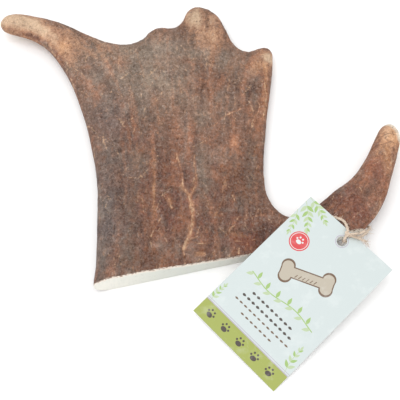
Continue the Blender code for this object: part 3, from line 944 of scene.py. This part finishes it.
def turned(points, centre, degrees):
    """Points drawn round (0, 0), turned and put in their place."""
    c, s = math.cos(math.radians(degrees)), math.sin(math.radians(degrees))
    return [(centre[0] + x * c - y * s, centre[1] + x * s + y * c) for x, y in points]


def leaf(foot, degrees, length, width):
    """A leaf with a point at each end, from its foot."""
    shares = [i / 7 for i in range(8)]
    edge = [(length * t, width / 2 * math.sin(math.pi * t**0.8)) for t in shares]
    back = [(x, -y) for x, y in reversed(edge[1:-1])]
    return turned(edge + back, foot, degrees)


def ribbon(knots, width):
    """A line of even width through points."""
    line = np.array(knots, float)
    heading = np.gradient(line, axis=0)
    heading /= np.linalg.norm(heading, axis=1)[:, None]
    side = np.stack([-heading[:, 1], heading[:, 0]], axis=1) * width / 2
    return [tuple(p) for p in np.vstack([line + side, (line - side)[::-1]])]


def sprig(foot, degrees, length, pairs, inks):
    """A stem with leaves in pairs that grow smaller towards its tip."""
    stem = [(length * t, 0.08 * length * math.sin(2.6 * t)) for t in np.linspace(0, 1, 9)]
    drawn = [(turned(ribbon(stem, 0.28), foot, degrees), inks[0])]
    for i in range(pairs):
        t = (i + 1) / (pairs + 0.3)
        at = (length * t, 0.08 * length * math.sin(2.6 * t))
        place = turned([at], foot, degrees)[0]
        size = length * 0.3 * (1.15 - 0.6 * t)
        for side in (1, -1):
            angle = degrees + side * (48 - 16 * t)
            drawn.append((leaf(place, angle, size, size * 0.4), inks[(i + (side > 0)) % len(inks)]))
    tip = turned([stem[-1]], foot, degrees)[0]
    drawn.append((leaf(tip, degrees, length * 0.2, length * 0.085), inks[0]))
    return drawn


def bone(length, shaft, knob):
    """A bone's outline: a waisted shaft with two round knobs at each end."""
    end = length / 2 - knob
    rise = 0.8 * knob
    back_to_shaft = 180 + math.degrees(math.asin((rise - shaft / 2) / knob))
    turns = np.radians(np.linspace(-20, back_to_shaft, 14))
    right = [(end + knob * math.cos(a), rise + knob * math.sin(a)) for a in turns]
    upper = right + [(-x, y) for x, y in reversed(right)]
    return upper + [(-x, -y) for x, y in upper]


def paw(centre, size, degrees):
    """A paw print: one broad pad and four toes."""
    pad = [(0.62 * math.cos(a), 0.45 * math.sin(a)) for a in np.linspace(0, 2 * math.pi, 16)[:-1]]
    drawn = [turned([(x * size, y * size) for x, y in pad], centre, degrees)]
    for angle, reach in ((150, 0.86), (110, 1.04), (70, 1.04), (30, 0.86)):
        away, way = size * reach, math.radians(angle)
        spot = (away * math.cos(way), away * math.sin(way))
        drawn.append(disc(turned([spot], centre, degrees)[0], size * 0.21, 12))
    return drawn


def card_print():
    """Every printed outline with its ink, those on top last."""
    band_top = -half_length + BAND_HEIGHT
    drawn = [(oblong(-half_width, half_width, -half_length, half_length), GROUND_INK)]
    greens = (PALE_LEAF_INK, LEAF_INK)
    for foot, degrees, length, pairs in (
        ((-26.0, 39.5), -20, 14, 5),
        ((-26.5, 37.0), -48, 15, 5),
        ((-26.3, 31.0), -70, 12, 4),
        ((-24.0, band_top), 88, 10, 4),
        ((24.0, band_top), 96, 13, 4),
    ):
        drawn += sprig(foot, degrees, length, pairs, greens)
    drawn.append((oblong(-half_width, half_width, -half_length, band_top), LIME_INK))
    drawn.append((oblong(-half_width, half_width, band_top, band_top + 0.5), MAUVE_INK))
    drawn.append((oblong(-half_width, half_width, band_top + 1.1, band_top + 1.35), MAUVE_INK))
    for i in range(5):
        centre = (-19.5 + 9.6 * i, -half_length + 4.0)
        drawn += [(toe, DARK_INK) for toe in paw(centre, 2.6, -12 + 6 * i)]
    drawn.append((turned(bone(27, 5.8, 3.4), BONE_PLACE, BONE_TURN), SEPIA_INK))
    drawn.append((turned(bone(25.8, 4.6, 2.8), BONE_PLACE, BONE_TURN), BUFF_INK))
    for i in range(6):
        stroke = ribbon([(-5.5 + i * 1.9, -2.0), (-4.4 + i * 1.9, -0.4)], 0.4)
        drawn.append((turned(stroke, BONE_PLACE, BONE_TURN), SEPIA_INK))
    drawn.append((disc(BADGE_PLACE, 5.0), RED_INK))
    drawn.append((disc(BADGE_PLACE, 4.4), WHITE_INK))
    drawn.append((disc(BADGE_PLACE, 4.1), RED_INK))
    drawn += [(toe, WHITE_INK) for toe in paw((-14.5, 19.1), 2.3, 0)]

    def on_garland(x):
        return (x, GARLAND_HEIGHT + 1.1 * math.sin(x / 5.0))

    wave = [on_garland(x) for x in np.linspace(-20, 20, 40)]
    drawn.append((ribbon(wave, 0.5), LEAF_INK))
    for i in range(13):
        x = -18.6 + 3.1 * i
        angle = 100 if i % 2 else -140
        drawn.append((leaf(on_garland(x), angle, 4.0, 1.7), greens[i % 2]))
    seed_rows = ((9, DARK_INK), (11, DARK_INK), (12, SEPIA_INK), (7, SEPIA_INK))
    for row, (count, ink) in enumerate(seed_rows):
        y = -14.0 - 3.6 * row
        for i in range(count):
            x = 2.9 * (i - (count - 1) / 2)
            drawn.append((leaf((x - 1.1, y), 0, 2.2, 1.3 if row < 2 else 0.9), ink))
    drawn.append((disc(HOLE_PLACE, HOLE_RADIUS + 0.75), MAUVE_INK))
    drawn.append((disc(HOLE_PLACE, HOLE_RADIUS + 0.4), GROUND_INK))
    drawn.append((disc(HOLE_PLACE, HOLE_RADIUS), None))
    return drawn


def anticlockwise(outline):
    """The outline, run round with its inside on its left."""
    x, y = np.array(outline).T
    turn = np.sum(x * np.roll(y, -1) - np.roll(x, -1) * y)
    return outline if turn > 0 else outline[::-1]


def card_mesh():
    """The card cut along every printed outline, so that each print is its own faces."""
    drawn = [(anticlockwise(outline), ink) for outline, ink in card_print()]
    points, outlines = [], []
    for outline, ink in drawn:
        outlines.append(list(range(len(points), len(points) + len(outline))))
        points += [Vector(p) for p in outline]
    for x in np.arange(-half_width + CARD_GRID, half_width, CARD_GRID):
        for y in np.arange(-half_length + CARD_GRID, half_length, CARD_GRID):
            points.append(Vector((x, y)))
    made = geometry.delaunay_2d_cdt(points, [], outlines, 1, 1e-4)
    work = bmesh.new()
    ink_layer = work.loops.layers.float_color.new("ink")
    spots = []
    for x, y in made[0]:
        bow = CARD_BOW * (1 - (x / half_width) ** 2)
        spots.append(work.verts.new(on_card((x, y, CARD_THICKNESS / 2 + bow)) * MM))
    for corners, owners in zip(made[2], made[5]):
        ink = drawn[max(owners)][1] if 0 in owners else None
        if ink is None:
            continue
        face = work.faces.new([spots[i] for i in corners])
        for loop in face.loops:
            loop[ink_layer] = (*ink, 1)
    loose = [v for v in work.verts if not v.link_faces]
    bmesh.ops.delete(work, geom=loose, context="VERTS")
    bmesh.ops.recalc_face_normals(work, faces=work.faces)
    up = card_turn.col[2]
    if sum(f.normal.dot(up) for f in work.faces) < 0:
        bmesh.ops.reverse_faces(work, faces=work.faces)
    bmesh.ops.solidify(work, geom=work.faces[:], thickness=CARD_THICKNESS * MM)
    for face in work.faces:
        lean = face.normal.dot(up)
        face.material_index = 0 if lean > 0.5 else 1
    mesh = bpy.data.meshes.new("hang_card_sheet")
    work.to_mesh(mesh)
    work.free()
    return mesh


def fibrous(name, size, roughness, strength):
    """A material of matted fibres: itself, its tree, its shader and its specks."""
    material, tree, shader = new_material(name)
    fibres = node(tree, "ShaderNodeGroup", {"Size": size, "Amount": 0.6}, node_tree=specks)
    shader.inputs["Roughness"].default_value = roughness
    bumped(tree, shader, strength, 0.05, fibres.outputs["Height"])
    return material, tree, shader, fibres.outputs


CARD_WHITE = (0.80, 0.80, 0.77)
CARD_SPECK = (0.72, 0.72, 0.69)
WORN_PRINT = (0.85, 0.88, 0.86)


def printed_card():
    material, tree, shader, fibres = fibrous("printed_card", 2.2, 0.5, 0.08)
    ink = node(tree, "ShaderNodeAttribute", attribute_name="ink").outputs["Color"]
    colour = mixed(tree, worked(tree, "MULTIPLY", fibres["Coarse"], 0.12), ink, WORN_PRINT)
    tree.links.new(colour, shader.inputs["Base Color"])
    return material


def bare_card():
    material, tree, shader, fibres = fibrous("bare_card", 1.6, 0.8, 0.2)
    colour = mixed(tree, fibres["Coarse"], CARD_WHITE, CARD_SPECK)
    tree.links.new(colour, shader.inputs["Base Color"])
    return material


card = placed("hang_card_sheet", card_mesh())
card.data.materials.append(printed_card())
card.data.materials.append(bare_card())
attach(card, "root")
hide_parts("hang_card")


# The twine: three thin strands of plant fibre twisted together, run through the card's
# hole and round the right tine, and tied in a knot with two short frayed ends.
TWINE_RADIUS = 0.65
TWINE_CLEARANCE = 0.3
STRANDS = 3
STRAND_RADIUS = 0.36
STRAND_OFFSET = 0.33
TWIST_LENGTH = 3.4
TWINE_STEP = 0.35
CENTRED_BY = Vector((0.15, 0.34, 0))
TIE_AT_CARD = [
    (0.3, 35.0, -2.0), (0.3, 35.0, -0.4), (0.2, 35.2, 0.8), (0.0, 36.2, 1.45), (-0.4, 37.8, 1.6),
    (-2.0, 39.8, 1.45),
]
TIE_ROUND_TINE = [
    (73.8, -31.2, 13.8), (71.4, -29.2, 13.2), (67.0, -27.2, 12.6), (62.6, -24.6, 12.0),
    (60.0, -22.0, 10.8), (59.3, -19.8, 8.8), (59.2, -19.7, 6.0), (60.6, -20.2, 3.6),
    (63.6, -21.3, 1.6), (68.0, -22.9, 1.1), (74.0, -25.0, 1.3), (80.0, -27.0, 1.9),
    (84.8, -28.4, 3.0), (87.3, -29.6, 5.0), (86.6, -31.8, 6.4), (83.8, -35.0, 7.2),
    (80.0, -37.6, 9.0), (76.6, -39.4, 9.9),
]
KNOT_PLACE = (-0.3, 37.7, 1.65)
KNOT_SIZE = (3.4, 2.8, 2.2)
LOOSE_ENDS = [
    [(-0.3, 37.7, 1.6), (2.5, 38.9, 1.6), (5.2, 40.2, 1.5), (7.8, 41.2, 0.9)],
    [(-0.3, 37.7, 1.6), (1.8, 39.8, 2.3), (3.6, 42.0, 2.6), (4.6, 44.4, 2.2)],
]
FUZZ_HAIRS = 420
FRAYED_HAIRS = 26
HAIR_RADIUS = 0.045
FUZZ_LENGTH = (0.8, 2.4)
FRAY_LENGTH = (1.5, 4.0)


def smooth_route(knots, step, closed):
    """Points about a step apart along a smooth curve through the knots."""
    knots = [np.array(k, float) for k in knots]
    spans = len(knots) if closed else len(knots) - 1
    route = []
    for i in range(spans):
        if closed:
            before, start, end, after = (knots[(i + k) % len(knots)] for k in (-1, 0, 1, 2))
        else:
            before, start = knots[max(i - 1, 0)], knots[i]
            end, after = knots[i + 1], knots[min(i + 2, spans)]
        steps = max(2, round(np.linalg.norm(end - start) / step))
        for t in np.arange(steps) / steps:
            linear = (end - before) * t
            square = (2 * before - 5 * start + 4 * end - after) * t**2
            cube = (3 * start - before - 3 * end + after) * t**3
            route.append(start + 0.5 * (linear + square + cube))
    if not closed:
        route.append(knots[-1])
    return np.array(route)


def frames_along(route):
    """At each point of a route: the way it heads, and two sides that turn as little as may be."""
    heading = np.gradient(route, axis=0)
    heading /= np.linalg.norm(heading, axis=1)[:, None]
    side = np.cross(heading[0], (0.3, 0.2, 1.0))
    sides = []
    for way in heading:
        side = side - way * (side @ way)
        side = side / np.linalg.norm(side)
        sides.append(side)
    sides = np.array(sides)
    return heading, sides, np.cross(heading, sides)


class Strands:
    """Tubes gathered into one mesh."""

    def __init__(self):
        self.points, self.faces, self.count = [], [], 0

    def tube(self, route, radius, sides):
        """A round tube along a route, closed at its ends; radius is one for all or one each."""
        _, first, second = frames_along(route)
        radius = np.broadcast_to(radius, len(route))
        turns = 2 * np.pi * np.arange(sides) / sides
        ring = np.cos(turns)[None, :, None] * first[:, None]
        ring = ring + np.sin(turns)[None, :, None] * second[:, None]
        self.points.append((route[:, None] + ring * radius[:, None, None]).reshape(-1, 3))
        start = self.count
        for i in range(len(route) - 1):
            for k in range(sides):
                a, b = start + i * sides + k, start + i * sides + (k + 1) % sides
                self.faces.append((a, b, b + sides, a + sides))
        self.faces.append(tuple(start + k for k in reversed(range(sides))))
        last = start + (len(route) - 1) * sides
        self.faces.append(tuple(last + k for k in range(sides)))
        self.count += len(route) * sides

    def mesh(self, name, low, high):
        points = np.clip(np.vstack(self.points), low, high)
        mesh = bpy.data.meshes.new(name)
        mesh.from_pydata([tuple(p) for p in points * MM], [], self.faces)
        mesh.shade_smooth()
        return mesh


def twisted(strands, route, radius, offset, start=0.0):
    """Three strands wound round a route."""
    _, first, second = frames_along(route)
    gone = np.concatenate([[0], np.cumsum(np.linalg.norm(np.diff(route, axis=0), axis=1))])
    for k in range(STRANDS):
        turn = start + 2 * np.pi * (gone / TWIST_LENGTH + k / STRANDS)
        path = route + offset * (np.cos(turn)[:, None] * first + np.sin(turn)[:, None] * second)
        strands.tube(path, radius, 8)


def kept_clear(route):
    """The route pushed out to where it clears the tine."""
    work = bmesh.new()
    work.from_mesh(frame["nodes"]["right_tine"].data)
    tree = BVHTree.FromBMesh(work)
    work.free()
    apart = TWINE_RADIUS + TWINE_CLEARANCE
    clear = []
    for place in route:
        surface, normal, _, _ = tree.find_nearest(Vector(place) * MM)
        surface, normal = np.array(surface) / MM, np.array(normal)
        away = place - surface
        gap = np.linalg.norm(away)
        if gap < apart or away @ normal < 0:
            out = normal if away @ normal <= 0 else away / gap
            place = surface + out * apart
        clear.append(place)
    return np.array(clear)


def hair(random, foot, heading, length, droop):
    """One bent fibre from its foot."""
    shares = np.linspace(0, 1, 5)[:, None]
    bend = random.normal(0, 0.35, 3) * length
    return foot + heading * length * shares + (bend - np.array([0, 0, droop])) * shares**2


strands = Strands()
random = np.random.default_rng(41)
ring_knots = [on_card(p) for p in TIE_AT_CARD] + [Vector(p) + CENTRED_BY for p in TIE_ROUND_TINE]
ring_knots = ring_knots[4:] + ring_knots[:4]
ring = kept_clear(smooth_route(ring_knots, TWINE_STEP, True))
ring = np.vstack([ring, ring[:1]])
twisted(strands, ring, STRAND_RADIUS, STRAND_OFFSET)
turns = np.linspace(0, 2 * np.pi, 61)
knot = np.stack([
    np.sin(turns) + 2 * np.sin(2 * turns),
    np.cos(turns) - 2 * np.cos(2 * turns),
    -1.6 * np.sin(3 * turns),
], axis=1)
knot = knot / np.abs(knot).max(axis=0) * (np.array(KNOT_SIZE) / 2 - 0.5)
knot = np.array([on_card(Vector(KNOT_PLACE) + Vector(p)) for p in knot])
twisted(strands, knot, 0.3, 0.27)
routes = [ring]
for places in LOOSE_ENDS:
    end = smooth_route([on_card(p) for p in places], TWINE_STEP, False)
    twisted(strands, end, STRAND_RADIUS * 0.85, STRAND_OFFSET * 0.9, 1.0)
    routes.append(end)
    heading = (end[-1] - end[-4]) / np.linalg.norm(end[-1] - end[-4])
    for _ in range(FRAYED_HAIRS):
        way = heading + random.normal(0, 0.32, 3)
        foot = end[-3] + random.normal(0, 0.25, 3)
        path = hair(random, foot, way / np.linalg.norm(way), random.uniform(*FRAY_LENGTH), 0.4)
        strands.tube(path, HAIR_RADIUS * 1.4, 3)
for _ in range(FUZZ_HAIRS):
    route = routes[random.choice(3, p=(0.7, 0.15, 0.15))]
    i = random.integers(1, len(route) - 1)
    along = route[i + 1 if i + 1 < len(route) else i] - route[i - 1]
    along = along / np.linalg.norm(along)
    out = np.cross(along, random.normal(0, 1, 3))
    out = out / np.linalg.norm(out)
    way = along * random.choice((-1, 1)) * random.uniform(0.5, 1.2) + out * random.uniform(0.3, 0.9)
    way = way / np.linalg.norm(way)
    path = hair(random, route[i] + out * 0.45, way, random.uniform(*FUZZ_LENGTH), 0.1)
    strands.tube(path, HAIR_RADIUS, 3)


FIBRE = (0.66, 0.54, 0.43)
FIBRE_SHADE = (0.46, 0.35, 0.26)
FIBRE_LIGHT = (0.84, 0.76, 0.66)


def plant_fibre():
    material, tree, shader, flecks = fibrous("plant_fibre", 0.5, 0.9, 0.5)
    colour = mixed(tree, flecks["Coarse"], FIBRE, FIBRE_SHADE)
    colour = mixed(tree, worked(tree, "MULTIPLY", flecks["Fine"], 0.5), colour, FIBRE_LIGHT)
    tree.links.new(colour, shader.inputs["Base Color"])
    return material


twine = placed("twine_tie", strands.mesh("twine_tie", low + (0, 0, 0.02), high))
twine.data.materials.append(plant_fibre())
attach(twine, "root")
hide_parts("twine")


# The table: a white sheet under soft light from all round and one wide lamp overhead.
TABLE_SIZE = 20000
TABLE_DROP = 0.05
SHEET_WHITE = (0.95, 0.95, 0.95)
LAMP_SIZE = 0.9
LAMP_POWER = 4
LAMP_PLACE = Vector((-0.2, -0.15, 1.0))

bpy.ops.mesh.primitive_plane_add(size=TABLE_SIZE * MM, location=(0, 0, -TABLE_DROP * MM))
table = bpy.context.active_object
table.name = "table_top"
table_white, _, shader = new_material("table_white")
shader.inputs["Base Color"].default_value = (*SHEET_WHITE, 1)
shader.inputs["Roughness"].default_value = 0.9
table.data.materials.append(table_white)

world = bpy.data.worlds.new("studio")
world.use_nodes = True
world.node_tree.nodes["Background"].inputs["Color"].default_value = (1, 1, 1, 1)
world.node_tree.nodes["Background"].inputs["Strength"].default_value = 1.0
scene.world = world
lamp = bpy.data.lights.new("soft_box", "AREA")
lamp.shape = "DISK"
lamp.size = LAMP_SIZE
lamp.energy = LAMP_POWER
lamp_holder = placed("soft_box", lamp)
lamp_holder.location = LAMP_PLACE
lamp_holder.rotation_mode = "QUATERNION"
lamp_holder.rotation_quaternion = (-LAMP_PLACE).to_track_quat("-Z", "Y")
scene.view_settings.view_transform = "Standard"


import json
